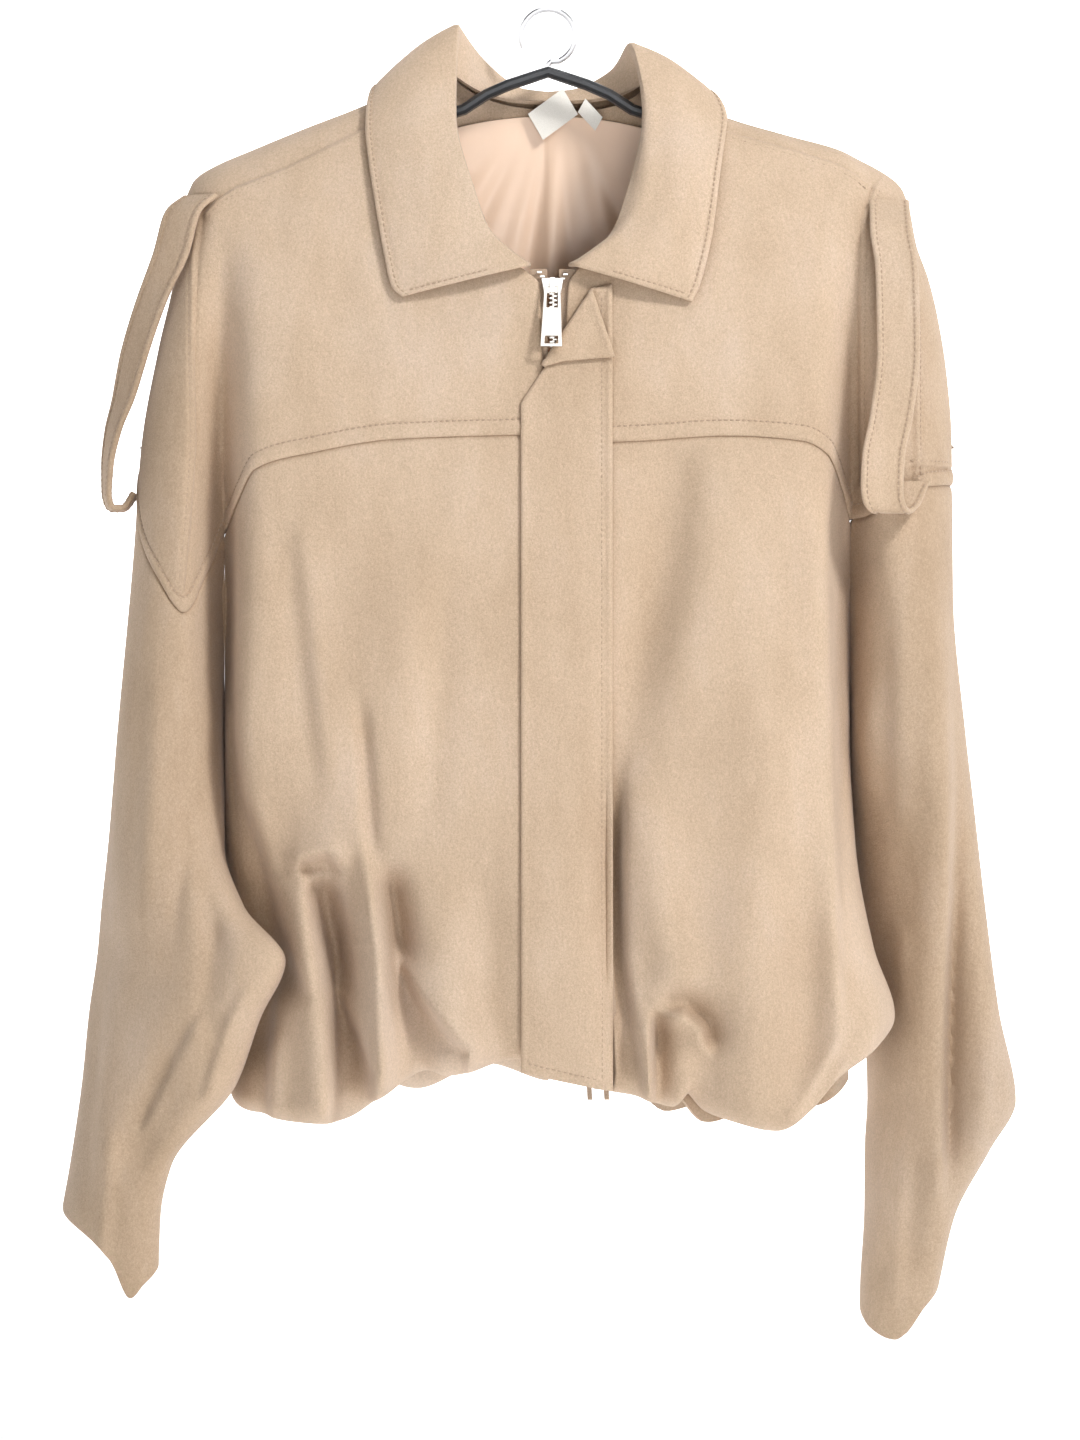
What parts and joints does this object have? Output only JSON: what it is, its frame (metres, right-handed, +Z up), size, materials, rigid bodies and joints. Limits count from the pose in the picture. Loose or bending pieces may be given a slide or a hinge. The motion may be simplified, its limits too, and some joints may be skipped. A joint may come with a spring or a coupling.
{
  "type": "zip-front jacket with shirt collar on a hanger",
  "caption": "Oversized cropped suede-look jacket with shirt collar, zip under a storm flap, shoulder straps and a gathered hem, hanging on a plain black hanger.",
  "frame": {"origin": "inner top of the hanger's hook, where it rests on a rail", "axes": "+Z up, -Y out of the front of the jacket, +X to the viewer's right (the wearer's left)"},
  "size_m": [0.5716, 0.1682, 0.7985],
  "materials": {
    "suede": "brushed nap",
    "nickel": "polished",
    "hanger_black": "satin",
    "hook_steel": "polished",
    "lining_satin": "satin",
    "zip_tape": "woven",
    "label_cream": "woven"
  },
  "bodies": {
    "jacket": {"back_lining": "lining_satin", "back_lower": "suede", "back_yoke": "suede", "collar": "suede", "front_lower_left": "suede", "front_lower_right": "suede", "front_yoke_left": "suede", "front_yoke_right": "suede", "hanger_arms": "hanger_black", "hanger_hook": "hook_steel", "hem_band": "suede", "label_main": "label_cream", "label_size": "label_cream", "sleeve_left_back": "suede", "sleeve_left_front": "suede", "sleeve_right_back": "suede", "sleeve_right_front": "suede", "storm_flap": "suede", "strap_left": "suede", "strap_right": "suede", "zip_chain": "nickel", "zip_slider": "nickel", "zip_tape_left": "zip_tape", "zip_tape_right": "zip_tape"},
    "pull": {"zip_pull": "nickel"}
  },
  "joints": [
    {"name": "pull_swing", "type": "hinge", "parent": "jacket", "child": "pull", "pos_m": [0.0026, -0.05089, -0.1684], "axis": [-1, 0, 0], "range_deg": [0, 150]}
  ]
}
